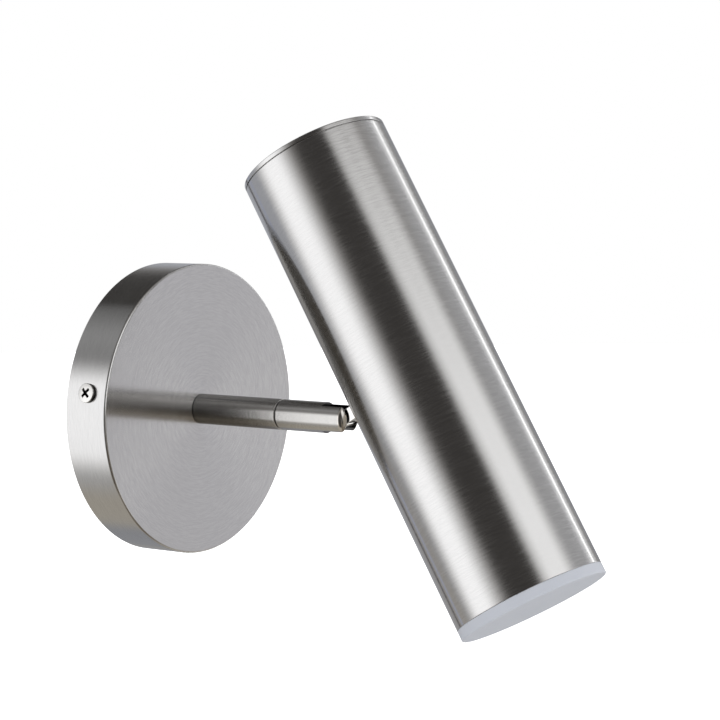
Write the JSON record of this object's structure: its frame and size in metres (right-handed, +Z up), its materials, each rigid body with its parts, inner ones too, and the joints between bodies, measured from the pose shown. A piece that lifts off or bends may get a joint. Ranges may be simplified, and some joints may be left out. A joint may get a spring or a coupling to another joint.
{
  "type": "tube wall light",
  "caption": "Wall light: round canopy, short arm that swivels, slotted tilting knuckle and a tubular LED head with a frosted lens at its lower end.",
  "frame": {"origin": "centre of the mounting bracket's back face, in the wall plane", "axes": "+Z up, +Y into the wall, the arm points to -Y, +X to the right as seen from the room"},
  "size_m": [0.123, 0.2079, 0.2017],
  "materials": {
    "brushed_nickel": "brushed satin nickel plate",
    "polished_nickel": "turned and polished nickel plate",
    "bright_nickel": "bright nickel plate",
    "zinc_steel": "zinc plated",
    "brass": "turned brass",
    "raw_aluminium": "extruded",
    "board_white": "white solder mask",
    "phosphor": "silicone",
    "black_rubber": "matte",
    "black_nylon": "matte",
    "white_plastic": "fine matte",
    "ivory_nylon": "satin",
    "foam_tape": "foam",
    "frosted_acrylic": "frosted",
    "green_pvc": "satin",
    "brown_pvc": "satin",
    "red_pvc": "satin"
  },
  "bodies": {
    "wall_base": {"mounting_bracket": "zinc_steel", "cable_grommet": "black_rubber", "earth_screw": "brass", "earth_washer": "zinc_steel", "earth_lead": "green_pvc", "canopy": "brushed_nickel", "canopy_screws": "bright_nickel", "nipple": "brass", "nipple_washer": "zinc_steel", "nipple_nut": "brass", "stem": "brushed_nickel", "tape_pads": "foam_tape", "led_driver": "white_plastic", "terminal_block": "ivory_nylon", "supply_leads": "brown_pvc", "driver_leads": "red_pvc"},
    "arm_end": {"swivel_bolt": "zinc_steel", "spring_washer": "zinc_steel", "seam_washer": "black_nylon", "stop_pin": "zinc_steel", "knuckle_sleeve": "brushed_nickel", "pivot_screw": "bright_nickel", "pivot_washers": "brass", "sleeve_leads": "red_pvc"},
    "head": {"head_lug": "polished_nickel", "saddle_washer": "zinc_steel", "lug_nut": "zinc_steel", "head_tube": "brushed_nickel", "top_cap": "brushed_nickel", "heat_sink": "raw_aluminium", "led_board": "board_white", "led_emitters": "phosphor", "board_screws": "zinc_steel", "lead_connector": "ivory_nylon", "reflector": "white_plastic", "diffuser": "frosted_acrylic", "lens_seal": "black_rubber", "head_leads": "red_pvc"}
  },
  "joints": [
    {"name": "swivel", "type": "hinge", "parent": "wall_base", "child": "arm_end", "pos_m": [0, -0.0634, 0], "axis": [0, -1, 0], "range_deg": [-165, 165]},
    {"name": "tilt", "type": "hinge", "parent": "arm_end", "child": "head", "pos_m": [0, -0.0944, 0], "axis": [1, 0, 0], "range_deg": [-19.4, 80.6]}
  ]
}
